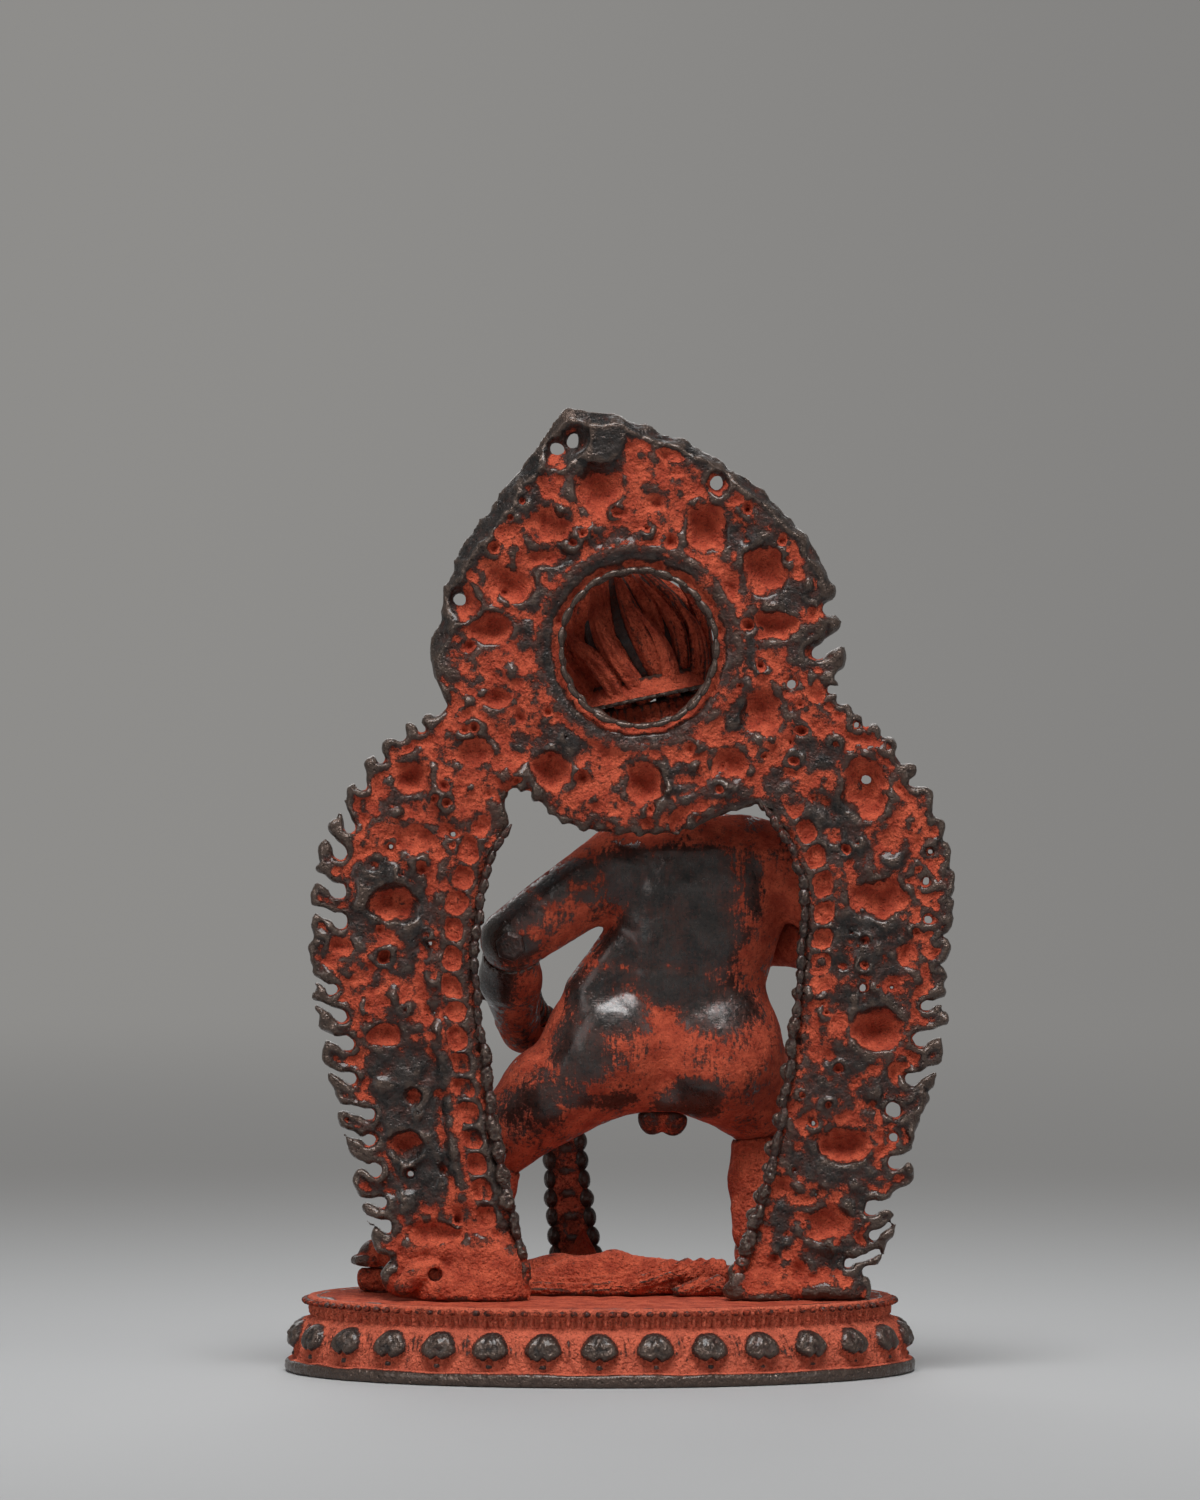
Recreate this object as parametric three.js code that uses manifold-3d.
// A small cast statue: a stout standing deity on an oval lotus pedestal, in front of a pierced flame aureole.
// Millimetres, +Z up. The figure faces -Y, so +X is on its left. The origin is under the pedestal's middle.
import * as THREE from "three";
import { mergeVertices } from "three/addons/utils/BufferGeometryUtils.js";
import Module from "manifold-3d";

const wasm = await Module();
wasm.setup();

// Driving dimensions

const FIT = 0.3; // clearance between two castings that are pinned together
const PIN_PLAY = 0.25; // clearance round a peg in its socket
const PAST = 1; // how far a cutting tool runs past the face that it opens

const pedestal = {
  length: 72.2,
  depth: 49,
  height: 8.6,
  plinthHeight: 1.3,
  plinthSlope: 0.3,
  plinthLedge: 1.0, // how far the petals' wall stands back from the plinth
  petalTop: 6.2,
  stamenInset: 3.1,
  stamenLean: 0.2,
  rimInset: 2.5,
  rimHeight: 0.8,
  wall: 2.2,
  deckThickness: 1.7,
  sides: 48,
};
const petal = { count: 30, halfWidth: 1.85, halfHeight: 1.7, bulge: 1.15, height: 4.3, inset: 1.25 };
const plate = { thickness: 0.6, rabbet: 1.5 };
const roll = { radius: 1.9, length: 30, tieWidth: 1.2, tieDepth: 0.25, sides: 14 };

const aureole = {
  height: 101.6, // its apex above the deck
  standOff: 2.2, // from the figure's back to the plate's front face
  thickness: 2.6,
  haloX: -4.4,
  haloHeight: 74, // above the deck
  haloRadius: 8.45,
  lipRadius: 0.42,
  grooveReach: 1.65, // outside the halo's edge
  grooveWidth: 0.9,
  grooveDepth: 0.4,
  ridgeReach: 2.85, // outside the halo's edge
  ridgeWidth: 1.5,
  ridgeStand: 0.45,
  ringSides: 24,
  lobePoints: 20, // along the lobe's edge
  archPoints: 12, // along each side of the arch, and along its top
  bossStand: 1.2,
  bossMargin: 0.3,
  tangThickness: 1.5,
  tangLength: 1.6,
  tangRoot: 0.6,
};
// Along each side of the arch: a knobbly bead rope on the edge, a row of cells, and a smooth band outside.
const border = {
  beadPitch: 2.88,
  beadRadius: 0.85,
  neckRadius: 0.5,
  beadInset: 0.3, // from the arch's edge back into the plate
  cellInset: 2.45,
  cellRadius: 1.15,
  cellDepth: 0.55,
  bandInset: 4.6,
  bandPitch: 4.5,
  bandRadius: 0.8,
  bandStand: 0.3,
  cellsLeft: 3, // cells left out at each end of the row
  bandLeft: 2, // steps of the band left out at each end
};
// The flames: the plate's own edge passes inside them, and each is cast a little thinner than the plate.
const flame = { pitch: 2.8, inset: 2.1, drop: 0.9, thinner: 0.25 };
const leftTang = { x: 13.6, width: 5 };
const rightTang = { x: -19.6, width: 5 };
const figureBack = 4; // Y of the seat, the furthest back that the figure reaches
const plateFront = figureBack + aureole.standOff;
const plateBack = plateFront + aureole.thickness;
const plateMiddle = (plateFront + plateBack) / 2;

const peg = { radius: 0.9, length: 2.4 };
const neckPin = { radius: 1.5, foot: [-10.8, -3.2, 46.5], top: [-9.2, -3.4, 57] };
const rivet = {
  radius: 0.6,
  length: 4.6,
  headRadius: 1.8,
  headHeight: 0.6,
  headSink: 0.8,
  reach: 3.1, // from the elbow's middle back to the root of the head
  drop: 0.6,
};

const head = { centre: [-6.8, -4.4, 62.6], tilt: 12, halfWidth: 7.2, halfDepth: 7.2, crownCut: 5.4 };
const crown = {
  inner: head.halfWidth + FIT,
  bandWidth: 1.1,
  bandHeight: 1.7,
  leafWidth: 3.8,
  leafHeight: 5.6,
  leafDepth: 0.9,
  leafTurn: 0.52, // radians from one leaf to the next
  leaves: 5,
  sides: 24,
};
const hair = {
  height: 18.5,
  backset: 0.9, // the mass of hair stands this far behind the head's axis
  locks: 11,
  lockReach: 0.62, // of the shortest locks, as a share of the hair's height
  lockStep: 0.14, // how much further the middle locks reach, and the longest again
  lockRadius: 1.7,
  lockInset: 0.9, // the locks' roots lie this far inside the mass of hair
  tipRadius: 0.35,
  bandSides: 20, // of the room cut for the crown's band
  // Radius of the mass of hair at shares of its height.
  swell: [[0, 6.9], [0.22, 7.3], [0.4, 7.4], [0.58, 6.5], [0.76, 4.6], [0.9, 2.4], [1, 0.5]],
};

const stream = {
  footX: 2.3,
  topGap: 1.2, // between its top and the mouth
  halfWidthTop: 1.7,
  halfWidthFoot: 2.6,
  thickness: 1.3,
  beadRadius: 0.85,
  beadTall: 1.0,
  beads: 10,
};
const bud = { x: 2.0, radius: 2.3, sole: 2.1, belly: 1.6, shoulder: [1.4, 4.2], height: 6.6, sides: 10 };
const cup = {
  radius: 3.5,
  height: 3.0,
  footRadius: 1.9,
  footHeight: 0.2,
  rimWidth: 0.5,
  heap: [2.1, 0.9], // the contents' shoulder, and its height over the rim
  top: 1.3,
  offset: [4.6, -3.4, 2.6], // from the wrist
  sides: 14,
};

const red = 0x8f3223; // dry pigment rubbed into the recesses
const dark = 0x35302d; // bare patina on what stands proud
const paper = 0xd9cdb0;
const copper = 0x9a5b3c;

// The figure's points are [x, y, height above the deck].
const deck = pedestal.height;
const joint = {
  leftShoulder: [-2.4, -2.0, 49.2],
  leftElbow: [10.2, -0.4, 40.6],
  leftWrist: [9.4, -9.8, 30.4],
  rightShoulder: [-20.6, -2.2, 49.2],
  rightElbow: [-28.6, -1.8, 41.4],
  rightWrist: [-17.4, -11.6, 39.8],
  leftHip: [-2.6, -3.0, 28.0],
  leftThigh: [5.8, -3.4, 22.6],
  leftKnee: [11.9, -4.4, 17.0],
  leftCalf: [13.4, -4.2, 11.8],
  leftAnkle: [15.9, -4.0, 6.6],
  rightHip: [-13.8, -2.4, 26.0],
  rightThigh: [-17.0, -5.6, 23.2],
  rightKnee: [-19.2, -8.6, 19.8],
  rightCalf: [-18.4, -5.4, 12.6],
  rightAnkle: [-17.8, -3.0, 7.0],
};
// Radius of each limb at its joints, from the trunk outwards.
const stoutness = {
  leftThigh: [7, 5.6, 4.1],
  rightThigh: [6.6, 5.5, 4.3],
  leftUpperArm: [4.7, 3.7],
  rightUpperArm: [4.4, 3.3],
  forearm: [2.9, 3.9, 2.4],
  leftShin: [3.6, 3.6, 2.4],
  rightShin: [3.8, 3.5, 2.6],
};
// Level ovals up the trunk: [height, centre x, centre y, half width, half depth].
const trunkLevels = [
  [21.5, -8.4, -2.4, 4.5, 3.5],
  [25.5, -8.2, -3.4, 11.5, 5.2],
  [30.5, -8.3, -4.0, 11.6, 5.8],
  [35.5, -9.2, -3.9, 9.8, 6.7],
  [41.0, -10.7, -3.2, 10.0, 7.0],
  [46.5, -11.4, -2.8, 11.3, 6.6],
  [51.0, -11.4, -2.6, 10.8, 5.8],
  [53.6, -10.6, -2.8, 7.0, 4.6],
  [55.2, -9.6, -3.0, 4.0, 3.8],
];
const leftSeat = { x: -1.2, height: 28.8, half: [7.6, 6.6, 7.6] };
const rightSeat = { x: -13.4, height: 28.4, half: [7.6, 6.6, 7.6] };
const belly = { at: [-9.6, -8, 35.6], half: [8.6, 6.6, 8.6] };
const knot = { half: [1.7, 1.6, 2.1], left: [-6.0, -2.6, 20.2], right: [-8.4, -2.6, 20.1] };
const hand = {
  forearmBelly: 0.45, // share of the forearm at which it is stoutest
  palmReach: 2.2,
  palmInward: 0.8,
  palmHalf: [2.6, 2.6, 1.7],
  fingers: 3,
  fingerRoot: [1.2, -1.2, 0.2],
  fingerPitch: 1.1,
  fingerReach: [2.6, -0.5, 1.0],
  fingerRadii: [0.75, 0.6],
  thumbReach: [-0.6, -2.2, 1.6],
  thumbRadii: [0.9, 0.65],
};
const collar = {
  centre: [-10.2, -5.4, 50.2],
  half: [7.6, 5.4, 3.4],
  beads: 15,
  beadRadius: 0.9,
  pendant: [-10.2, -11.0, 45.2],
  pendantHalf: [1.6, 1.1, 1.9],
};
const soleHeight = 2.9; // the feet stand on the trampled figure, this high above the deck
const feet = {
  left: { heel: [16.2, -4.0], toe: [25.8, -4.9], tenon: [19.6, -4.2] },
  right: { heel: [-17.8, -2.8], toe: [-19.2, -11.2], tenon: [-18.2, -4.8] },
};
const footShape = {
  heelRise: 1.3,
  instepRise: 1.6,
  toeRise: 0.9,
  radii: [2.2, 2.5, 2.3],
  flatten: 0.8,
  ankleRadii: [1.9, 2.3],
  ankleShare: 0.25, // where along the foot the ankle comes down
  toes: 5,
  toePitch: 1.0,
  toeLift: 0.75,
  toeReach: 2.4,
  toeFall: 0.3,
  toeRadii: [0.72, 0.6],
};

// The figure underfoot: each limb's points and radii, and the rounded pieces' centres and half sizes.
const fallenLimbs = [
  {
    name: "trunk",
    points: [[-8, -5.6, 1.4], [-2, -5.4, 1.7], [5, -6.2, 1.5], [10, -7.6, 1.2]],
    radii: [2.2, 2.4, 2.6, 2.0],
    sides: 10,
  },
  { name: "neck", points: [[10, -7.6, 1.2], [15.4, -11.4, 1.6]], radii: [1.7, 1.5], sides: 8 },
  {
    name: "left arm",
    points: [[10, -5.0, 1.2], [18, -4.2, 1.4], [26.4, -4.6, 1.2]],
    radii: [1.6, 1.7, 1.5],
    sides: 7,
  },
  { name: "right arm", points: [[10, -10, 1.0], [6.6, -12.0, 1.0]], radii: [1.5, 1.2], sides: 8 },
  {
    name: "far leg",
    points: [[-8, -6.8, 1.2], [-17, -8.6, 1.3], [-23.6, -6.6, 1.0]],
    radii: [2.0, 1.8, 1.3],
    sides: 7,
  },
  {
    name: "near leg",
    points: [[-8, -4, 1.2], [-17.6, -3.6, 1.4], [-24, -2.2, 1.0]],
    radii: [2.0, 1.9, 1.3],
    sides: 7,
  },
];
const fallenLumps = [
  { name: "head", at: [17.4, -12.6, 2.2], half: [3.2, 2.8, 2.6] },
  { name: "heel by the aureole", at: [-12.2, 1.8, 0.8], half: [3.0, 1.7, 1.6] },
];
const folds = {
  count: 3,
  first: [[8.6, -1.8, 0.9], [0, -1.4, 1.8], [-10.5, -1.8, 1.5]],
  step: [[0, 1.5, 0], [0, 1.7, -0.55], [0, 1.0, -0.3]], // from one fold to the next
  radii: [1.3, 2.0, 1.2],
  fall: 0.3, // how much thinner each fold is at its middle than the one before
};
// The figure underfoot is level under the feet outside these X, but for the room that its head takes.
const tread = { left: 12.6, right: -14.4, headEnd: 22.5, headBack: -9.2 };

// Geometry helpers

const above = ([x, y, h]) => new THREE.Vector3(x, y, deck + h);

// The solid of a closed geometry, with its shared vertices merged and its faces turned outwards.
function solidOf(geometry) {
  const bare = geometry.index ? geometry.toNonIndexed() : geometry.clone();
  bare.deleteAttribute("normal");
  bare.deleteAttribute("uv");
  const merged = mergeVertices(bare, 1e-4);
  const mesh = { numProp: 3, vertProperties: merged.attributes.position.array };
  const triVerts = new Uint32Array(merged.index.array);
  const made = new wasm.Manifold(new wasm.Mesh({ ...mesh, triVerts }));
  if (made.volume() > 0) return made;
  for (let i = 0; i < triVerts.length; i += 3)
    [triVerts[i + 1], triVerts[i + 2]] = [triVerts[i + 2], triVerts[i + 1]];
  return new wasm.Manifold(new wasm.Mesh({ ...mesh, triVerts }));
}

// A solid back as a geometry with flat-shaded faces.
function geometryOf(solid) {
  const { vertProperties, triVerts, numProp } = solid.getMesh();
  const positions = new Float32Array(triVerts.length * 3);
  triVerts.forEach((v, i) => positions.set(vertProperties.subarray(v * numProp, v * numProp + 3), i * 3));
  const geometry = new THREE.BufferGeometry();
  geometry.setAttribute("position", new THREE.BufferAttribute(positions, 3));
  geometry.computeVertexNormals();
  return geometry;
}

const join = (...solids) => solids.reduce((all, next) => all.add(next));

// Everything lower than a height, everything higher, and everything in front of a plane. No piece is as far
// from the origin's axis as the pedestal is long.
const far = pedestal.length;
const below = (z) => block([-far, -far, z - far], [far, far, z]);
const over = (z) => block([-far, -far, z], [far, far, z + far]);
const before = (y) => block([-far, -far, -far], [far, y, 2 * far]);
const cut = (from, ...tools) => tools.reduce((rest, tool) => rest.subtract(tool), from);

// Skins a row of rings with equal point counts, and closes each end with a fan to its tip.
function skin(rings, firstTip, lastTip) {
  const sides = rings[0].length;
  const points = [...rings.flat(), firstTip, lastTip];
  const faces = [];
  for (let ring = 0; ring + 1 < rings.length; ring++)
    for (let side = 0; side < sides; side++) {
      const a = ring * sides + side;
      const b = ring * sides + ((side + 1) % sides);
      faces.push(a, b, b + sides, a, b + sides, a + sides);
    }
  const last = (rings.length - 1) * sides;
  for (let side = 0; side < sides; side++) {
    const next = (side + 1) % sides;
    faces.push(points.length - 2, next, side);
    faces.push(points.length - 1, last + side, last + next);
  }
  const geometry = new THREE.BufferGeometry().setFromPoints(points);
  geometry.setIndex(faces);
  return solidOf(geometry);
}

// A round limb through points, with its own radius at each and rounded ends.
function limb(points, radii, { grow = 0, sides = 10, flatten = 1 } = {}) {
  const path = points.map((p) => (p.isVector3 ? p : new THREE.Vector3(...p)));
  const ringAt = (centre, along, radius) => {
    const across = new THREE.Vector3(0, 1, 0).cross(along);
    if (across.length() < 0.1) across.set(1, 0, 0);
    across.normalize();
    const other = new THREE.Vector3().crossVectors(along, across).normalize();
    return Array.from({ length: sides }, (_, i) => {
      const turn = (2 * Math.PI * i) / sides;
      return centre
        .clone()
        .addScaledVector(across, Math.cos(turn) * radius)
        .addScaledVector(other, Math.sin(turn) * radius * flatten);
    });
  };
  const alongAt = (i) => {
    const from = path[Math.max(i - 1, 0)];
    const to = path[Math.min(i + 1, path.length - 1)];
    return to.clone().sub(from).normalize();
  };
  const rings = [];
  const endTurn = 0.9; // where the rounded end's one extra ring lies, in radians up its quarter circle
  path.forEach((centre, i) => {
    const radius = radii[i] + grow;
    const along = alongAt(i);
    const ring = ringAt(centre, along, radius);
    const outward = i === 0 ? -1 : 1;
    const end = centre.clone().addScaledVector(along, outward * radius * Math.sin(endTurn));
    const endRing = ringAt(end, along, radius * Math.cos(endTurn));
    if (i === 0) rings.push(endRing, ring);
    else if (i === path.length - 1) rings.push(ring, endRing);
    else rings.push(ring);
  });
  const tip = (i, outward) => path[i].clone().addScaledVector(alongAt(i), outward * (radii[i] + grow));
  return skin(rings, tip(0, -1), tip(path.length - 1, 1));
}

// A stack of level ovals, each [height, centre x, centre y, half width, half depth], from the bottom up.
function stack(levels, { grow = 0, sides = 14 } = {}) {
  const rings = levels.map(([z, x, y, halfWidth, halfDepth]) =>
    Array.from({ length: sides }, (_, i) => {
      const turn = (2 * Math.PI * i) / sides;
      const across = (halfWidth + grow) * Math.cos(turn);
      return new THREE.Vector3(x + across, y + (halfDepth + grow) * Math.sin(turn), z);
    }),
  );
  const [bottom, top] = [levels[0], levels[levels.length - 1]];
  const tip = ([z, x, y], lift) => new THREE.Vector3(x, y, z + lift);
  return skin(rings, tip(bottom, -grow), tip(top, grow));
}

function ellipsoid([x, y, z], [halfX, halfY, halfZ], { grow = 0, around = 12, up = 8 } = {}) {
  const ball = new THREE.SphereGeometry(1, around, up);
  ball.rotateX(Math.PI / 2);
  ball.scale(halfX + grow, halfY + grow, halfZ + grow);
  ball.translate(x, y, z);
  return solidOf(ball);
}

function block([lowX, lowY, lowZ], [highX, highY, highZ]) {
  const box = new THREE.BoxGeometry(highX - lowX, highY - lowY, highZ - lowZ);
  box.translate((lowX + highX) / 2, (lowY + highY) / 2, (lowZ + highZ) / 2);
  return solidOf(box);
}

// A straight round pin between two points.
function pin(from, to, radius, sides = 8) {
  const along = to.clone().sub(from);
  const rod = new THREE.CylinderGeometry(radius, radius, along.length(), sides);
  const upright = new THREE.Vector3(0, 1, 0);
  rod.applyQuaternion(new THREE.Quaternion().setFromUnitVectors(upright, along.clone().normalize()));
  const middle = from.clone().add(to).multiplyScalar(0.5);
  rod.translate(middle.x, middle.y, middle.z);
  return solidOf(rod);
}

// An outline in X and Z, pushed along Y from its front face to its back face.
function slab(points, front, back, holes = []) {
  const shape = new THREE.Shape(points.map(([x, z]) => new THREE.Vector2(x, z)));
  shape.holes = holes;
  const settings = { depth: back - front, bevelEnabled: false, curveSegments: aureole.ringSides };
  const geometry = new THREE.ExtrudeGeometry(shape, settings);
  geometry.rotateX(Math.PI / 2);
  geometry.translate(0, back, 0);
  return solidOf(geometry);
}

function smooth(points, count) {
  const curve = new THREE.SplineCurve(points.map(([x, z]) => new THREE.Vector2(x, z)));
  return curve.getSpacedPoints(count).map((p) => [p.x, p.y]);
}

// The oval pedestal

// An upright oval wall through [inset, height] steps, closed across its bottom and top.
function oval(steps) {
  const halfLength = pedestal.length / 2;
  const halfDepth = pedestal.depth / 2;
  const levels = steps.map(([inset, z]) => [z, 0, 0, halfLength - inset, halfDepth - inset]);
  return stack(levels, { sides: pedestal.sides });
}

// Angles that space points evenly along the oval's edge.
function evenTurns(count) {
  const fine = 720;
  const at = (turn) => [(pedestal.length / 2) * Math.cos(turn), (pedestal.depth / 2) * Math.sin(turn)];
  const run = [0];
  for (let i = 1; i <= fine; i++) {
    const [x0, y0] = at((2 * Math.PI * (i - 1)) / fine);
    const [x1, y1] = at((2 * Math.PI * i) / fine);
    run.push(run[i - 1] + Math.hypot(x1 - x0, y1 - y0));
  }
  return Array.from({ length: count }, (_, k) => {
    const want = ((k + 0.5) / count) * run[fine];
    return (2 * Math.PI * run.findIndex((length) => length >= want)) / fine;
  });
}

function petalKnobs() {
  const around = 6;
  const up = 3;
  const knob = (turn) => {
    const ball = new THREE.SphereGeometry(1, around, up);
    ball.scale(petal.bulge, petal.halfWidth, petal.halfHeight);
    const x = (pedestal.length / 2 - petal.inset) * Math.cos(turn);
    const y = (pedestal.depth / 2 - petal.inset) * Math.sin(turn);
    ball.rotateZ(Math.atan2(y / pedestal.depth ** 2, x / pedestal.length ** 2));
    ball.translate(x, y, petal.height);
    return solidOf(ball);
  };
  return evenTurns(petal.count).map(knob);
}

// The upright tongue under a foot of the aureole. With play it is the slot for it, right through the deck.
function tang({ x, width }, play = 0) {
  const halfWidth = width / 2 + play;
  const halfThickness = aureole.tangThickness / 2 + play;
  const low = play ? deck - 2 * pedestal.deckThickness : deck - aureole.tangLength;
  return block(
    [x - halfWidth, plateMiddle - halfThickness, low],
    [x + halfWidth, plateMiddle + halfThickness, deck + aureole.tangRoot],
  );
}

// The tenon under a foot, down through the trampled figure and the deck. With play it is the hole for it.
function footTenon([x, y], play) {
  const foot = new THREE.Vector3(x, y, deck + soleHeight + peg.radius);
  const end = new THREE.Vector3(x, y, deck - pedestal.deckThickness - (play ? PAST : 0));
  return pin(foot, end, peg.radius + play);
}

function lotusBase() {
  const { petalTop, plinthHeight, plinthSlope, plinthLedge, stamenInset, stamenLean } = pedestal;
  const { rimInset, rimHeight, height, wall, deckThickness } = pedestal;
  const body = oval([
    [0, 0],
    [0, plinthHeight],
    [plinthLedge, plinthHeight + plinthSlope],
    [petal.inset, petal.height],
    [stamenInset, petalTop],
    [stamenInset - stamenLean, height - rimHeight],
    [rimInset, height - rimHeight],
    [rimInset, height],
  ]);
  const hollow = oval([
    [plate.rabbet + wall, -PAST],
    [plate.rabbet + wall, petal.height],
    [stamenInset + wall, height - deckThickness],
  ]);
  const rabbet = oval([
    [plate.rabbet, -PAST],
    [plate.rabbet, plate.thickness + FIT],
  ]);
  return cut(
    join(body, ...petalKnobs()),
    hollow,
    rabbet,
    tang(leftTang, PIN_PLAY),
    tang(rightTang, PIN_PLAY),
    footTenon(feet.left.tenon, PIN_PLAY),
    footTenon(feet.right.tenon, PIN_PLAY),
  );
}

function basePlate() {
  const inset = plate.rabbet + FIT;
  return oval([
    [inset, 0],
    [inset, plate.thickness],
  ]);
}

// A rolled paper scroll with a thread tied round it, lying on the plate inside the pedestal.
function prayerRoll() {
  const { radius, length, tieWidth, tieDepth, sides } = roll;
  const waist = radius - tieDepth;
  const profile = [
    [0, -length / 2],
    [radius, -length / 2],
    [radius, -tieWidth / 2],
    [waist, -tieWidth / 2],
    [waist, tieWidth / 2],
    [radius, tieWidth / 2],
    [radius, length / 2],
    [0, length / 2],
  ];
  const lathe = new THREE.LatheGeometry(profile.map(([r, y]) => new THREE.Vector2(r, y)), sides);
  lathe.rotateZ(Math.PI / 2);
  lathe.translate(0, 0, plate.thickness + FIT + radius);
  return solidOf(lathe);
}

// The flame aureole

// Tips of the flames, edges of the lobe and of the arch, and the feet, each as [x, height above the deck].
// They are drawn for a plate whose apex is the lobe's highest point.
const leftTips = [
  [24.4, 4.1], [25.6, 8.4], [26.5, 11.6], [27.6, 14.9], [28.5, 19], [29.3, 21.9], [29.9, 24.6], [30.6, 27],
  [31.3, 29.5], [31.6, 32.7], [32.1, 35.5], [32.5, 38.4], [32.7, 40.9], [32.5, 43.8], [32.5, 47.2],
  [32.3, 49.9], [31.8, 52.4], [30.7, 54.8], [29.9, 57.1], [28.6, 59], [26.6, 61.8], [24.4, 63.6],
  [22.3, 65.8], [20.3, 66.8],
];
const rightTips = [
  [-27.2, 77.5], [-27.9, 74.6], [-27.1, 70.8], [-28.6, 68], [-30.1, 66.8], [-31.9, 65.6], [-33.5, 64.1],
  [-35.9, 61.2], [-37.6, 58.3], [-39.1, 54.9], [-39.6, 52.1], [-40.3, 49], [-40.3, 45.6], [-40.1, 44],
  [-39.6, 41.2], [-39.2, 37.8], [-39.3, 35.6], [-39.2, 32.8], [-38.8, 29.4], [-38, 27], [-37, 24.1],
  [-36.4, 21.8], [-35.4, 19.4], [-35.5, 16], [-33.2, 10.2], [-32.1, 7.3], [-30.5, 2.6],
];
const lobe = [
  [17.2, 67.4], [19.4, 73], [18.1, 80.5], [11.3, 94.1], [6.8, 99.2], [3.7, 101.6], [-1, 100.4], [-5.7, 98.9],
  [-15.9, 93], [-24.4, 84.5], [-26.9, 79.4],
];
const archRight = [
  [-14.5, 0], [-18.4, 12.5], [-21.3, 26.1], [-22.8, 42], [-22.2, 49.5], [-18.4, 56.1], [-11.3, 53.9],
];
const archTop = [[-11.3, 53.9], [-6.8, 53], [0, 53.3], [4.5, 54.5], [8, 57.6], [10.8, 57.6], [10.4, 54.2]];
const archLeft = [[10.4, 54.2], [13, 48.8], [14.3, 38.6], [13.4, 28.4], [11.6, 15.9], [9.3, 5.7], [8.5, 0]];
const leftFoot = [[8.5, 0], [19, 0], [19.8, 1.8], [22.2, 2.2]];
const rightFoot = [[-28, 0.6], [-24.7, 0]];
const buttress = { x: 13.2, halfWidth: 4.6, height: 4.4, depth: 4.6 }; // rough metal left behind the foot

// Hollows in the back of the plate, and the bosses in front of them.
// Each is [x, height above the deck, half width, half height, depth].
const hollows = [
  [0, 92.3, 2.3, 2.8, 1.5], [5.9, 87.5, 2.5, 2.5, 0.9], [5.9, 84.3, 2.5, 1.2, 0.8],
  [10.1, 80.9, 2.8, 2.1, 1.3], [12.2, 76, 2.5, 1.7, 1.2], [5.6, 60.1, 2.1, 2.1, 1.2],
  [-5, 58.4, 2.1, 2.4, 1.3], [-14.9, 60.9, 2, 1.8, 0.9], [-12.1, 87.3, 2.3, 2.5, 1.6],
  [-18.8, 82.8, 2.4, 2.3, 1.4], [-19.7, 76.5, 2.8, 1.5, 1.2], [-18.3, 67, 2.2, 2.3, 1.2],
  [21.4, 59, 2.2, 1.9, 1.3], [-30.2, 57.9, 2.5, 3.3, 1.6], [23.6, 45, 2.6, 1.9, 1.4],
  [24.2, 30.1, 1.9, 1.3, 0.7], [29.3, 40, 1.5, 1.2, 0.7], [21.9, 17.7, 1.9, 1.5, 1.3],
  [19.1, 7.6, 2.7, 1.3, 0.9], [-31.9, 45.5, 2.9, 2.1, 1.2], [-34.8, 39.2, 1.3, 1.3, 0.8],
  [-31.5, 30.6, 2.8, 2.3, 1.7], [-33.9, 25.8, 1.3, 1.3, 0.9], [-27.9, 17.5, 2.8, 1.8, 1.5],
  [-26.1, 8.7, 3.1, 1.7, 0.9], [-20.4, 12.6, 1.6, 1.4, 0.6], [20.9, 52.3, 2.6, 1.6, 0.5],
  [14.2, 62.3, 1.9, 1.6, 0.6],
];
// Round gaps between the roots of the flames: [x, height above the deck, radius].
const gaps = [
  [20.3, 64.8, 0.5], [24.9, 61.4, 0.55], [27, 58.4, 0.65], [28.4, 53.6, 0.7], [29.5, 50.8, 1],
  [29.8, 46.5, 1.05], [29.4, 43, 0.95], [30.4, 35.3, 0.75], [29.4, 32.3, 0.9], [28.8, 29.1, 1],
  [28.2, 25, 0.8], [25.9, 21.1, 0.9], [25.9, 17.9, 0.9], [25.3, 14.6, 0.95], [24.4, 10.9, 0.6],
  [24, 8.1, 0.85], [-25.9, 78.3, 0.45], [-24.9, 73.4, 0.5], [-26.2, 69.3, 0.6], [-29.1, 65.3, 0.45],
  [-35.5, 58.7, 0.55], [-37.5, 50.9, 0.4], [-37, 47.4, 0.65], [-37.3, 43.2, 0.7], [-37.2, 33.4, 0.75],
  [-36.4, 29.6, 1.05], [-35.4, 25, 0.85], [-33.3, 21.5, 0.95], [-33.3, 18.4, 0.6], [-33.4, 15.5, 0.95],
  [-31.1, 10.5, 1.15], [-31, 7.3, 0.55], [-28.3, 4.2, 0.95],
];
// A flame's outline, out from its root, up to its curled tip and back: [in from the tip, down from the tip].
const tongue = [[4.4, 3.7], [1.9, 3.2], [0.1, 1.7], [0.1, 0], [1.5, 0.7], [2.6, 1.8], [4.4, 1.9]];

const drawnHeight = Math.max(...lobe.map(([, h]) => h));
const onPlate = ([x, h]) => [x, deck + (h * aureole.height) / drawnHeight];

// The flames of one side, each no fatter than the room that its nearest neighbour leaves.
function flames(tips, outward) {
  const spots = tips.map(onPlate);
  const apart = (a, b) => (a === b ? Infinity : Math.hypot(a[0] - b[0], a[1] - b[1]));
  return spots.map((spot) => {
    const room = Math.min(...spots.map((other) => apart(spot, other)));
    const fat = Math.min(1, room / flame.pitch);
    const outline = tongue.map(([inward, down]) => [spot[0] - outward * inward * fat, spot[1] - down * fat]);
    return slab(outline, plateFront + flame.thinner, plateBack - flame.thinner);
  });
}

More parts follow.
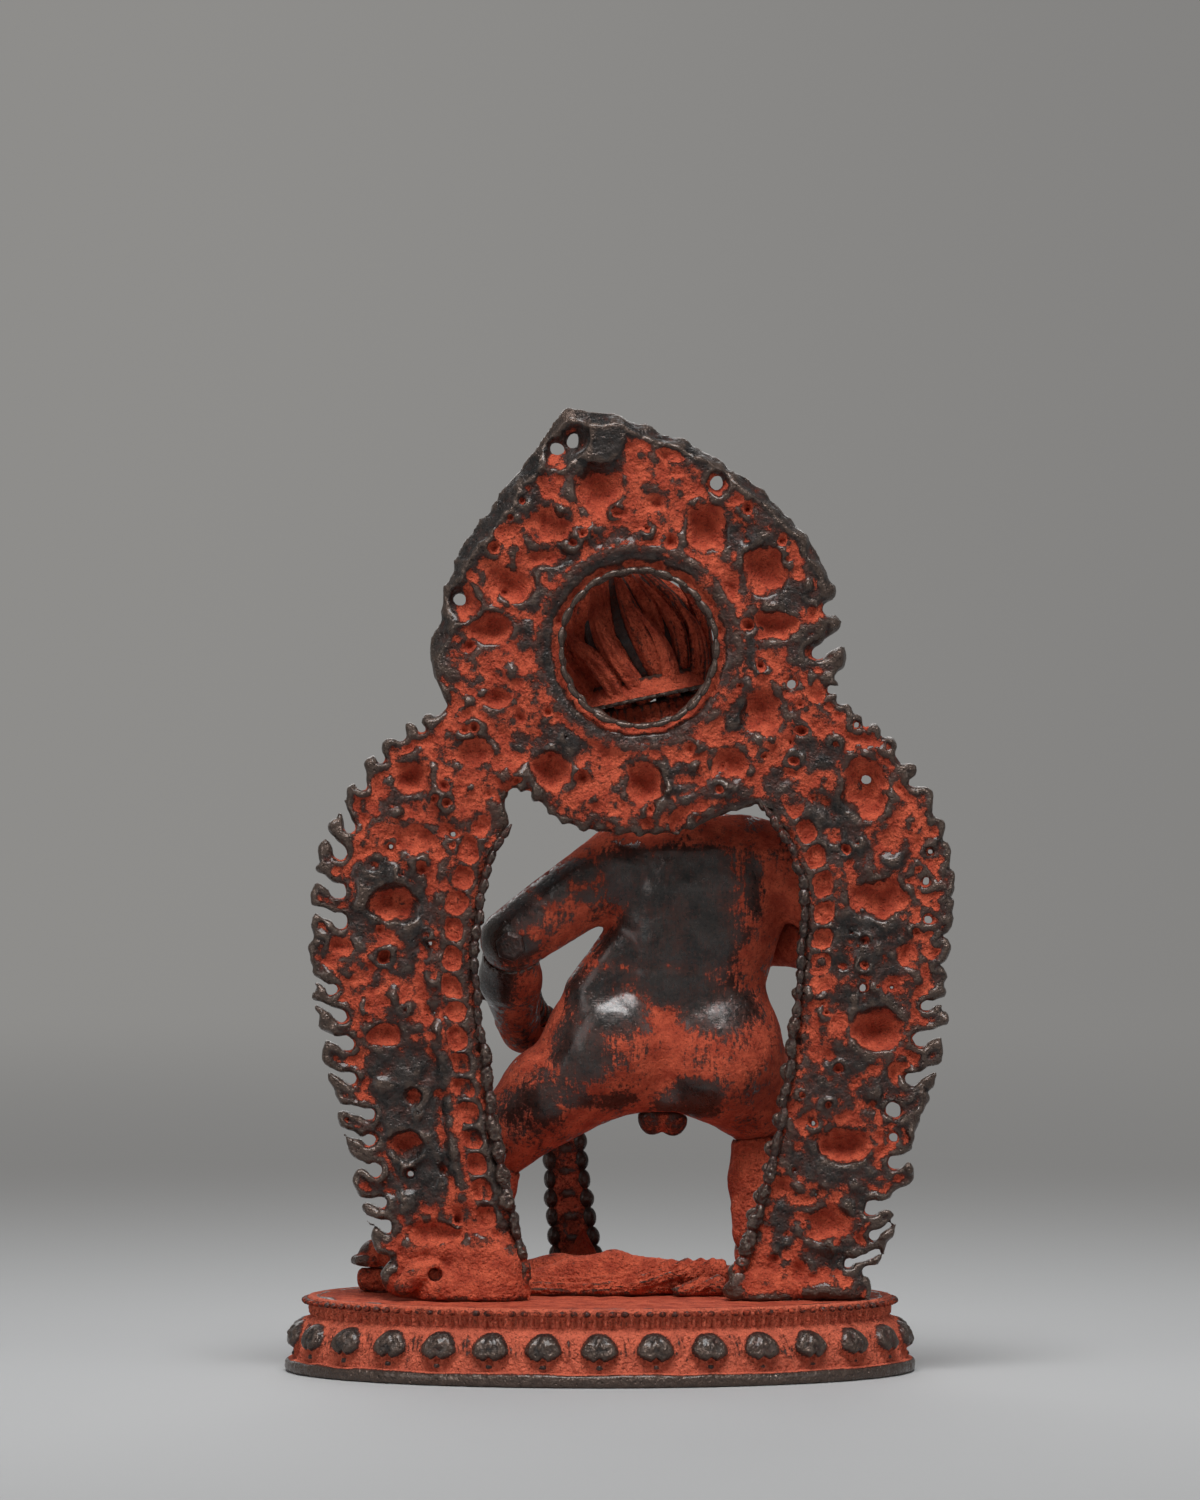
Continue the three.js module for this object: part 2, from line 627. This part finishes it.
// Points spaced evenly along an edge of the arch, each moved back into the plate by an inset.
function beside(edge, pitch, inset) {
  const curve = new THREE.SplineCurve(edge.map((p) => new THREE.Vector2(...onPlate(p))));
  const count = Math.round(curve.getLength() / pitch);
  const spaced = curve.getSpacedPoints(count);
  return spaced.map((p, i) => {
    const along = spaced[Math.min(i + 1, count)].clone().sub(spaced[Math.max(i - 1, 0)]).normalize();
    return [p.x - along.y * inset, p.y + along.x * inset];
  });
}

// A rope of knobs along an edge of the arch, thick and thin by turns.
function beadRope(edge) {
  const points = beside(edge, border.beadPitch / 2, border.beadInset);
  const path = points.map(([x, z]) => new THREE.Vector3(x, plateBack, z));
  const radii = path.map((_, i) => (i % 2 ? border.beadRadius : border.neckRadius));
  return limb(path, radii, { sides: 6 });
}

// A low smooth band outside the cells.
function smoothBand(edge) {
  const { bandPitch, bandInset, bandRadius, bandStand, bandLeft } = border;
  const points = beside(edge, bandPitch, bandInset).slice(bandLeft, -bandLeft);
  const path = points.map(([x, z]) => new THREE.Vector3(x, plateBack + bandStand - bandRadius, z));
  return limb(path, path.map(() => bandRadius), { sides: 6 });
}

// The row of shallow cells between the rope and the band.
function cells(edge) {
  const { beadPitch, cellInset, cellRadius, cellDepth, cellsLeft } = border;
  const half = [cellRadius, cellDepth, cellRadius];
  const points = beside(edge, beadPitch, cellInset).slice(cellsLeft, -cellsLeft);
  return points.map(([x, z]) => ellipsoid([x, plateBack, z], half, { around: 6, up: 3 }));
}

// A ring round the halo, turned from a closed profile of [radius, y].
function haloRing(profile) {
  const turned = new THREE.LatheGeometry(
    [...profile, profile[0]].map(([r, y]) => new THREE.Vector2(r, y)),
    aureole.ringSides,
  );
  return solidOf(turned).translate(aureole.haloX, 0, deck + aureole.haloHeight);
}

// The halo's beaded lip and the ridge outside it, and the groove to be cut between them.
function haloRings() {
  const { haloRadius, lipRadius, ridgeReach, ridgeWidth, ridgeStand } = aureole;
  const { grooveReach, grooveWidth, grooveDepth } = aureole;
  const lip = haloRing([
    [haloRadius, plateMiddle],
    [haloRadius + 2 * lipRadius, plateMiddle],
    [haloRadius + 2 * lipRadius, plateBack],
    [haloRadius + lipRadius, plateBack + lipRadius],
    [haloRadius, plateBack],
  ]);
  const outside = haloRadius + ridgeReach;
  const ridge = haloRing([
    [outside - ridgeWidth / 2, plateMiddle],
    [outside + ridgeWidth / 2, plateMiddle],
    [outside + ridgeWidth / 2, plateBack],
    [outside, plateBack + ridgeStand],
    [outside - ridgeWidth / 2, plateBack],
  ]);
  const low = haloRadius + grooveReach;
  const groove = haloRing([
    [low, plateBack - grooveDepth],
    [low + grooveWidth / 2, plateBack],
    [low + grooveWidth / 2, plateBack + PAST],
    [low - grooveWidth / 2, plateBack + PAST],
    [low - grooveWidth / 2, plateBack],
  ]);
  return { standing: join(lip, ridge), groove };
}

function aureolePlate() {
  const inside = (tips, outward) =>
    tips.map(onPlate).map(([x, z]) => [x - outward * flame.inset, z - flame.drop]);
  const edge = (points, count) => smooth(points.map(onPlate), count);
  const { lobePoints, archPoints } = aureole;
  const outline = [
    ...leftFoot.map(onPlate),
    ...inside(leftTips, 1),
    ...edge(lobe, lobePoints),
    ...inside(rightTips.slice(2), -1), // the first two flames hang from the lobe's end
    ...rightFoot.map(onPlate),
    ...edge(archRight, archPoints),
    ...edge(archTop, archPoints).slice(1, -1),
    ...edge(archLeft, archPoints).slice(0, -1),
  ];
  const hole = new THREE.Path();
  hole.absarc(aureole.haloX, deck + aureole.haloHeight, aureole.haloRadius, 0, 2 * Math.PI, true);
  const body = slab(outline, plateFront, plateBack, [hole]);

  const gapCutters = gaps.map(([x, h, radius]) => {
    const [, z] = onPlate([x, h]);
    const at = (y) => new THREE.Vector3(x, y, z);
    return pin(at(plateFront - PAST), at(plateBack + PAST), radius, 6);
  });
  const dimples = hollows.map(([x, h, halfWidth, halfHeight, depth]) => {
    const [, z] = onPlate([x, h]);
    return ellipsoid([x, plateBack, z], [halfWidth, depth, halfHeight], { around: 7, up: 4 });
  });
  const bosses = hollows.map(([x, h, halfWidth, halfHeight]) => {
    const [, z] = onPlate([x, h]);
    const half = [halfWidth + aureole.bossMargin, aureole.bossStand, halfHeight + aureole.bossMargin];
    return ellipsoid([x, plateFront, z], half, { around: 6, up: 3 });
  });
  const sides = [archRight, archLeft];
  const { standing, groove } = haloRings();
  const half = [buttress.halfWidth, buttress.depth, buttress.height];
  const flare = ellipsoid([buttress.x, plateMiddle, deck], half, { around: 10, up: 6 });
  const lump = cut(flare, before(plateMiddle));
  const onTop = cut(join(lump, ...sides.map(beadRope)), below(deck));
  const relief = [...bosses, standing, onTop, ...sides.map(smoothBand)];
  const fire = cut(join(...flames(leftTips, 1), ...flames(rightTips, -1)), below(deck + FIT));
  const cast = join(cut(body, ...gapCutters), fire, ...relief);
  return join(cut(cast, ...dimples, ...sides.flatMap(cells), groove), tang(leftTang), tang(rightTang));
}

// The standing figure

const boned = (names, radii) => (grow) => limb(names.map((name) => above(joint[name])), radii, { grow });
const thigh = {
  left: boned(["leftHip", "leftThigh", "leftKnee"], stoutness.leftThigh),
  right: boned(["rightHip", "rightThigh", "rightKnee"], stoutness.rightThigh),
};
const upperArm = {
  left: boned(["leftShoulder", "leftElbow"], stoutness.leftUpperArm),
  right: boned(["rightShoulder", "rightElbow"], stoutness.rightUpperArm),
};

// Trunk, buttocks, belly, thighs and upper arms: one casting. Growing it by the fit makes room for its
// neighbours.
function trunk(grow = 0) {
  const levels = trunkLevels.map(([h, ...rest]) => [deck + h, ...rest]);
  const seat = ({ x, height, half }) => ellipsoid([x, figureBack - half[1], deck + height], half, { grow });
  const [bellyX, bellyY, bellyHeight] = belly.at;
  return join(
    stack(levels, { grow }),
    seat(leftSeat),
    seat(rightSeat),
    ellipsoid([bellyX, bellyY, deck + bellyHeight], belly.half, { grow }),
    thigh.left(grow),
    thigh.right(grow),
    upperArm.left(grow),
    upperArm.right(grow),
  );
}

const kneePeg = {
  left: (play) => pin(above(joint.leftThigh), above(joint.leftCalf), peg.radius + play),
  right: (play) => pin(above(joint.rightThigh), above(joint.rightCalf), peg.radius + play),
};
const neckPeg = (play) => pin(above(neckPin.foot), above(neckPin.top), neckPin.radius + play);

// A faceted rivet through the elbow, with its head at the back.
function elbowRivet(side, play) {
  const { radius, headRadius, headHeight, headSink, length, reach, drop } = rivet;
  const elbow = above(joint[side + "Elbow"]);
  const headY = elbow.y + reach;
  const at = (y) => new THREE.Vector3(elbow.x, y, elbow.z - drop);
  const shank = pin(at(headY - length), at(headY), radius + play, 6);
  const top = pin(at(headY - headSink), at(headY + headHeight), headRadius + play, 6);
  return join(shank, top);
}

// A forearm with its hand: palm, bent fingers and thumb.
function armAndHand(side, grow = 0) {
  const elbow = above(joint[side + "Elbow"]);
  const wrist = above(joint[side + "Wrist"]);
  const along = wrist.clone().sub(elbow).normalize();
  const mid = elbow.clone().lerp(wrist, hand.forearmBelly);
  const inward = side === "left" ? -1 : 1;
  const moved = (from, [x, y, z]) => from.clone().add(new THREE.Vector3(inward * x, y, z));
  const palm = wrist.clone().addScaledVector(along, hand.palmReach);
  const arm = limb([elbow, mid, wrist], stoutness.forearm, { grow });
  const palmAt = moved(palm, [hand.palmInward, 0, 0]).toArray();
  const palmBall = ellipsoid(palmAt, hand.palmHalf, { grow, around: 8, up: 6 });
  const fingers = Array.from({ length: hand.fingers }, (_, n) => {
    const start = moved(palm, hand.fingerRoot).add(new THREE.Vector3(0, n * hand.fingerPitch, 0));
    return limb([start, moved(start, hand.fingerReach)], hand.fingerRadii, { grow, sides: 6 });
  });
  const thumb = limb([palm, moved(palm, hand.thumbReach)], hand.thumbRadii, { grow, sides: 6 });
  return join(arm, palmBall, ...fingers, thumb);
}
const forearm = (side) => cut(armAndHand(side), trunk(FIT), elbowRivet(side, PIN_PLAY));

// The loose two-lobed knot of the loin ornament, hanging below the seat.
function loinKnot() {
  const lobeAt = (point) => ellipsoid(above(point).toArray(), knot.half, { around: 8, up: 4 });
  return cut(join(lobeAt(knot.left), lobeAt(knot.right)), trunk(FIT));
}

// From the ankle down to its peg's root in the foot, and how much longer than the other pegs this one is.
const ankle = { reach: 3.2, socket: 1.2 };
const shinShape = {
  left: boned(["leftKnee", "leftCalf", "leftAnkle"], stoutness.leftShin),
  right: boned(["rightKnee", "rightCalf", "rightAnkle"], stoutness.rightShin),
};

// A peg on the foot that runs up into the end of the shin.
function anklePeg(side, play) {
  const middle = above(joint[side + "Ankle"]);
  const down = middle.clone().sub(above(joint[side + "Calf"])).normalize();
  const root = middle.clone().addScaledVector(down, ankle.reach);
  const top = middle.clone().addScaledVector(down, ankle.reach - peg.length - ankle.socket - play);
  return pin(root, top, peg.radius + play);
}

const shin = (side) => cut(shinShape[side](0), trunk(FIT), kneePeg[side](PIN_PLAY), anklePeg(side, PIN_PLAY));

// A foot from heel to toes: a low vault with five toes, cupped under the ankle and pinned down by its tenon.
function foot(side) {
  const { heel, toe, tenon } = feet[side];
  const { heelRise, instepRise, toeRise, radii, flatten, ankleRadii, ankleShare } = footShape;
  const { toes, toePitch, toeLift, toeReach, toeFall, toeRadii } = footShape;
  const sole = deck + soleHeight;
  const start = new THREE.Vector3(...heel, sole + heelRise);
  const end = new THREE.Vector3(...toe, sole + toeRise);
  const along = end.clone().sub(start).normalize();
  const across = new THREE.Vector3(-along.y, along.x, 0).normalize();
  const instep = start.clone().lerp(end, 0.5).setZ(sole + instepRise);
  const vault = join(
    limb([start, instep, end], radii, { flatten }),
    limb([above(joint[side + "Ankle"]), start.clone().lerp(end, ankleShare)], ankleRadii),
  );
  const bigToe = (toes - 2) / 2; // counted from the first toe, where the row reaches furthest
  const row = Array.from({ length: toes }, (_, n) => {
    const root = end.clone().addScaledVector(across, (n - (toes - 1) / 2) * toePitch).setZ(sole + toeLift);
    const tip = root.clone().addScaledVector(along, toeReach - Math.abs(n - bigToe) * toeFall);
    return limb([root, tip], toeRadii, { sides: 5 });
  });
  const trimmed = cut(join(vault, ...row), shinShape[side](FIT), below(sole));
  return join(trimmed, footTenon(tenon, 0), anklePeg(side, 0));
}

// The head and what it wears. Its own frame has the head's centre as origin, and the group tilts it.

const skullParts = {
  brain: { at: [0, 0, 3], half: [head.halfWidth, head.halfDepth, 9] },
  jaw: { at: [0, -2, -3.6], half: [5.8, 5.4, 4.6] },
  neck: { points: [[0, 0.6, -4], [-1.4, 1.2, -8.2]], radii: [4.0, 3.9] },
};
// The features in the middle of the face, and those on its left, which are repeated on its right.
const middleFeatures = [
  { name: "nose", at: [0, -7.5, -1.2], half: [1.5, 1.6, 2.0], around: 8 },
  { name: "bridge of the nose", at: [0, -7.1, 0.6], half: [0.8, 1.2, 2.0], around: 6 },
  { name: "lips", at: [0, -6.7, -4.4], half: [2.2, 1.2, 0.7], around: 8 },
  { name: "chin", at: [0, -6.3, -6.4], half: [1.9, 1.3, 1.3], around: 8 },
];
const pairedFeatures = [
  { name: "brow", at: [3.0, -5.9, 2.0], half: [2.3, 1.5, 0.6], around: 8 },
  { name: "eye", at: [3.0, -5.8, 0.5], half: [1.5, 1.5, 0.9], around: 8 },
  { name: "cheek", at: [3.6, -5.2, -2.6], half: [2.2, 1.8, 1.8], around: 8 },
];
const ear = {
  x: head.halfWidth,
  bulge: 0.3,
  top: [-0.4, 1.6],
  middle: [-0.6, -1.0],
  end: [-0.8, -3.9],
  radii: [1.3, 1.1, 0.9],
};
const hoop = { radius: 1.2, wire: 0.55, offset: 0.2 };

function skull(grow = 0) {
  const { brain, jaw, neck } = skullParts;
  return join(
    ellipsoid(brain.at, brain.half, { grow, around: 12, up: 8 }),
    ellipsoid(jaw.at, jaw.half, { grow, around: 10, up: 6 }),
    limb(neck.points, neck.radii, { grow }),
  );
}

function headCasting() {
  const feature = ({ at: [x, y, z], half, around }, side = 1) =>
    ellipsoid([side * x, y, z], half, { around, up: 4 });
  const earAt = (side) => {
    const { x, bulge, top, middle, end, radii } = ear;
    const line = [[side * x, ...top], [side * (x + bulge), ...middle], [side * x, ...end]];
    return limb(line, radii, { sides: 6 });
  };
  const sides = [-1, 1];
  const face = [
    ...middleFeatures.map((one) => feature(one)),
    ...sides.flatMap((side) => pairedFeatures.map((one) => feature(one, side))),
    ...sides.map(earAt),
  ];
  const topPeg = pin(
    new THREE.Vector3(0, 0, head.crownCut - peg.radius),
    new THREE.Vector3(0, 0, head.crownCut + peg.length),
    peg.radius,
  );
  return join(cut(join(skull(), ...face), over(head.crownCut)), topPeg);
}

// The diadem: a flared band round the head, with a row of leaves across the brow.
function diadem() {
  const { inner, bandWidth, bandHeight, sides } = crown;
  const { leafWidth, leafHeight, leafDepth, leafTurn, leaves } = crown;
  const low = head.crownCut - bandHeight / 2;
  const taper = 0.7; // share of the band's width left at its top, and of a leaf's at its root
  const shoulder = 0.4; // share of a leaf's height at which it is widest
  const band = new THREE.LatheGeometry(
    [
      [inner, low],
      [inner + bandWidth, low],
      [inner + bandWidth * taper, low + bandHeight],
      [inner, low + bandHeight],
      [inner, low],
    ].map(([r, y]) => new THREE.Vector2(r, y)),
    sides,
  );
  band.rotateX(Math.PI / 2);
  const half = leafWidth / 2;
  const rise = [
    [-half * taper, 0],
    [half * taper, 0],
    [half, leafHeight * shoulder],
    [0, leafHeight],
    [-half, leafHeight * shoulder],
  ];
  const radius = inner + bandWidth;
  const leaf = (n) => {
    const flat = new THREE.ExtrudeGeometry(new THREE.Shape(rise.map(([x, y]) => new THREE.Vector2(x, y))), {
      depth: leafDepth,
      bevelEnabled: false,
    });
    flat.rotateX(Math.PI / 2);
    flat.translate(0, leafDepth / 2 - radius, head.crownCut);
    flat.rotateZ((n - (leaves - 1) / 2) * leafTurn);
    return solidOf(flat);
  };
  return join(solidOf(band), ...Array.from({ length: leaves }, (_, n) => leaf(n)));
}

// Hair swept up like flame: a stout tapering mass, set back on the head, with locks of three lengths standing
// out of it.
function flameHair() {
  const base = head.crownCut + FIT;
  const { height, backset, swell, bandSides } = hair;
  const { locks, lockReach, lockStep, lockRadius, lockInset, tipRadius } = hair;
  const radiusAt = (share) => {
    const next = Math.max(1, swell.findIndex(([at]) => at >= share));
    const [[a, ra], [b, rb]] = [swell[next - 1], swell[next]];
    return ra + ((rb - ra) * (share - a)) / (b - a);
  };
  const mass = stack(
    swell.map(([share, radius]) => [base + share * height, 0, backset, radius, radius]),
    { sides: 12 },
  );
  const shares = [0, 0.3, 0.65, 1]; // a lock's points, as shares of its own height
  const lock = (n) => {
    const turn = (2 * Math.PI * n) / locks;
    const reach = lockReach + lockStep * (n % 3);
    const points = shares.map((share) => {
      const out = radiusAt(share * reach) - lockInset;
      return [out * Math.cos(turn), backset + out * Math.sin(turn), base + share * reach * height];
    });
    return limb(points, [lockRadius, lockRadius, lockRadius * shares[2], tipRadius], { sides: 6 });
  };
  const socket = pin(
    new THREE.Vector3(0, 0, base - PAST),
    new THREE.Vector3(0, 0, base + peg.length + FIT),
    peg.radius + PIN_PLAY,
  );
  const disc = (radius, thickness) => {
    const round = new THREE.CylinderGeometry(radius, radius, thickness, bandSides);
    round.rotateX(Math.PI / 2);
    round.translate(0, 0, head.crownCut);
    return solidOf(round);
  };
  const bandRoom = crown.bandHeight + FIT;
  const roomForBand = cut(disc(far, bandRoom), disc(crown.inner - FIT, bandRoom + 2 * PAST));
  const swept = join(mass, ...Array.from({ length: locks }, (_, n) => lock(n)));
  return cut(swept, below(base), socket, roomForBand);
}

// A ring hung under the ear lobe.
function earring(side) {
  const ring = new THREE.TorusGeometry(hoop.radius, hoop.wire, 5, 10);
  ring.rotateY(Math.PI / 2);
  const [y, lobeEnd] = ear.end;
  const lobeRadius = ear.radii[2];
  ring.translate(side * (ear.x + hoop.offset), y, lobeEnd - lobeRadius - FIT - hoop.wire - hoop.radius);
  return cut(solidOf(ring), skull(FIT));
}

// The attributes

// A short collar of beads on the chest, open to the neck, with a pendant in front.
function necklace() {
  const { centre, half, beads, beadRadius, pendant, pendantHalf } = collar;
  const string = Array.from({ length: beads }, (_, n) => {
    const turn = Math.PI * (1 + n / (beads - 1));
    const [across, forward] = [Math.cos(turn), Math.sin(turn)];
    const share = [across, forward, forward];
    return above(centre.map((middle, axis) => middle + half[axis] * share[axis]));
  });
  const cord = limb(string, string.map(() => beadRadius), { sides: 6 });
  const drop = ellipsoid(above(pendant).toArray(), pendantHalf, { around: 8, up: 4 });
  return cut(join(cord, drop), trunk(FIT));
}

function skullCup() {
  const wrist = above(joint.rightWrist);
  const { radius, height, footRadius, footHeight, rimWidth, heap, top, offset, sides } = cup;
  const profile = [
    [0, 0],
    [footRadius, footHeight],
    [(footRadius + 3 * radius) / 4, height / 2],
    [radius, height],
    [radius - rimWidth, height],
    [heap[0], height + heap[1]],
    [0, height + top],
  ];
  const bowl = new THREE.LatheGeometry(profile.map(([r, y]) => new THREE.Vector2(r, y)), sides);
  bowl.rotateX(Math.PI / 2);
  bowl.translate(wrist.x + offset[0], wrist.y + offset[1], wrist.z + offset[2]);
  return cut(solidOf(bowl), trunk(FIT), armAndHand("right", FIT));
}

// The treasure-giving mongoose, held at the left hip with its head hanging over the hand.
const mongooseMouth = [4.2, -16.6, 25.6];
const rump = [11.2, -11.4, 34.4];
const nape = [5.8, -15.4, 33.4];
const brow = [4.6, -16.2, 30];
const mongooseBody = { points: [rump, [8.6, -13.8, 35.6], nape], radii: [2.1, 2.4, 1.9] };
const mongooseNeck = { points: [nape, brow], radii: [1.8, 1.5] };
const mongooseMuzzle = { points: [brow, mongooseMouth], radii: [1.7, 0.8] };
const mongooseTail = { points: [rump, [14.0, -10.2, 34.6], [16.0, -10.6, 37.4]], radii: [1.5, 1.0, 0.5] };
const mongooseEar = { places: [[3.4, -16.0, 31.4], [6.2, -16.0, 31.4]], half: [0.6, 0.7, 0.9] };
function mongooseShape(grow) {
  const piece = ({ points, radii }, sides) => limb(points.map(above), radii, { grow, sides });
  return join(piece(mongooseBody, 10), piece(mongooseNeck, 10), piece(mongooseMuzzle, 8));
}
function mongoose() {
  const { places, half } = mongooseEar;
  const ears = places.map((at) => ellipsoid(above(at).toArray(), half, { around: 6, up: 4 }));
  const tail = limb(mongooseTail.points.map(above), mongooseTail.radii, { sides: 6 });
  return cut(join(mongooseShape(0), ...ears, tail), armAndHand("left", FIT), trunk(FIT));
}

// Jewels pouring from its mouth: a tapering strip with a row of beads along each edge, standing on the deck.
function jewelStream() {
  const { footX, topGap, halfWidthTop, halfWidthFoot, thickness, beadRadius, beadTall, beads } = stream;
  const [mouthX, mouthY, mouthHeight] = mongooseMouth;
  const top = deck + mouthHeight - topGap;
  const strip = slab(
    [
      [footX - halfWidthFoot, deck],
      [footX + halfWidthFoot, deck],
      [mouthX + halfWidthTop, top],
      [mouthX - halfWidthTop, top],
    ],
    mouthY - thickness / 2,
    mouthY + thickness / 2,
  );
  const row = [];
  for (let n = 0; n < beads; n++) {
    const rise = (n + 0.5) / beads;
    const x = footX + (mouthX - footX) * rise;
    const half = halfWidthFoot + (halfWidthTop - halfWidthFoot) * rise;
    for (const side of [-1, 1]) {
      const at = [x + side * half, mouthY, deck + (top - deck) * rise];
      row.push(ellipsoid(at, [beadRadius, beadRadius, beadTall], { around: 5, up: 3 }));
    }
  }
  return cut(join(strip, ...row), below(deck), mongooseShape(FIT));
}

// A pointed jewel on the deck at the foot of the stream.
function jewelBud() {
  const { x, radius, sole, belly, shoulder, height, sides } = bud;
  const profile = [
    [0, 0],
    [sole, 0],
    [radius, belly],
    shoulder,
    [0, height],
  ];
  const turned = new THREE.LatheGeometry(profile.map(([r, y]) => new THREE.Vector2(r, y)), sides);
  turned.rotateX(Math.PI / 2);
  turned.translate(x, mongooseMouth[1] + stream.beadRadius + FIT + radius, deck);
  return solidOf(turned);
}

// The figure underfoot, lying on its back along the deck, with a folded cloth over its near side.
function trampledFigure() {
  const limbs = fallenLimbs.map(({ points, radii, sides }) => limb(points.map(above), radii, { sides }));
  const lumps = fallenLumps.map(({ at, half }) => ellipsoid(above(at).toArray(), half, { around: 8, up: 5 }));
  const layers = Array.from({ length: folds.count }, (_, n) => {
    const moved = (point, i) => point.map((value, axis) => value + n * folds.step[i][axis]);
    const points = folds.first.map(moved).map(above);
    const radii = folds.radii.map((radius, i) => (i === 1 ? radius - n * folds.fall : radius));
    return limb(points, radii, { sides: 7 });
  });
  const solesUp = deck + soleHeight - FIT;
  const low = deck - far;
  const high = deck + far;
  const treadLeft = block([tread.left, -far, solesUp], [far, far, high]);
  const treadRight = block([-far, -far, solesUp], [tread.right, far, high]);
  const headroom = block([tread.left, -far, low], [tread.headEnd, tread.headBack, high]);
  return cut(
    join(...limbs, ...lumps, ...layers),
    cut(treadLeft, headroom),
    treadRight,
    below(deck),
    footTenon(feet.left.tenon, PIN_PLAY),
    footTenon(feet.right.tenon, PIN_PLAY),
  );
}

// Assembly

const statue = new THREE.Group();
const headGroup = new THREE.Group();
headGroup.position.copy(above(head.centre));
headGroup.rotation.y = THREE.MathUtils.degToRad(head.tilt);
statue.add(headGroup);

function place(name, solid, color, { roughness = 0.75, metalness = 0.2, into = statue } = {}) {
  const material = new THREE.MeshStandardMaterial({ color, roughness, metalness });
  const mesh = new THREE.Mesh(geometryOf(solid), material);
  mesh.name = name;
  into.add(mesh);
}

// A solid of the head's frame as the statue's frame sees it, and the other way round.
const turned = (solid) => {
  const geometry = geometryOf(solid);
  headGroup.updateMatrix();
  geometry.applyMatrix4(headGroup.matrix);
  return solidOf(geometry);
};
const inHeadFrame = (solid) => {
  const geometry = geometryOf(solid);
  geometry.applyMatrix4(headGroup.matrix.clone().invert());
  return solidOf(geometry);
};

place("lotus_base", lotusBase(), red);
place("base_plate", basePlate(), copper, { roughness: 0.5, metalness: 0.7 });
place("prayer_roll", prayerRoll(), paper, { roughness: 0.95, metalness: 0 });
place("aureole", aureolePlate(), red);
place("trampled_figure", trampledFigure(), red);
place("jewel_stream", jewelStream(), red);
place("jewel_bud", jewelBud(), red);

place(
  "torso",
  cut(
    join(cut(trunk(), turned(skull(FIT))), neckPeg(0), kneePeg.left(0), kneePeg.right(0)),
    elbowRivet("left", PIN_PLAY),
    elbowRivet("right", PIN_PLAY),
  ),
  dark,
);
place("left_forearm", forearm("left"), dark);
place("right_forearm", forearm("right"), dark);
place("left_elbow_rivet", elbowRivet("left", 0), dark, { metalness: 0.6 });
place("right_elbow_rivet", elbowRivet("right", 0), dark, { metalness: 0.6 });
place("loin_knot", loinKnot(), red);
place("left_shin", shin("left"), red);
place("right_shin", shin("right"), red);
place("left_foot", foot("left"), red);
place("right_foot", foot("right"), red);
place("necklace", cut(necklace(), turned(skull(FIT))), dark);
place("skull_cup", skullCup(), dark);
place("mongoose", mongoose(), dark);

place("head", cut(headCasting(), inHeadFrame(neckPeg(PIN_PLAY))), red, { into: headGroup });
place("crown", diadem(), dark, { into: headGroup });
place("flame_hair", flameHair(), red, { into: headGroup });
place("left_earring", earring(1), dark, { into: headGroup });
place("right_earring", earring(-1), dark, { into: headGroup });

export default statue;
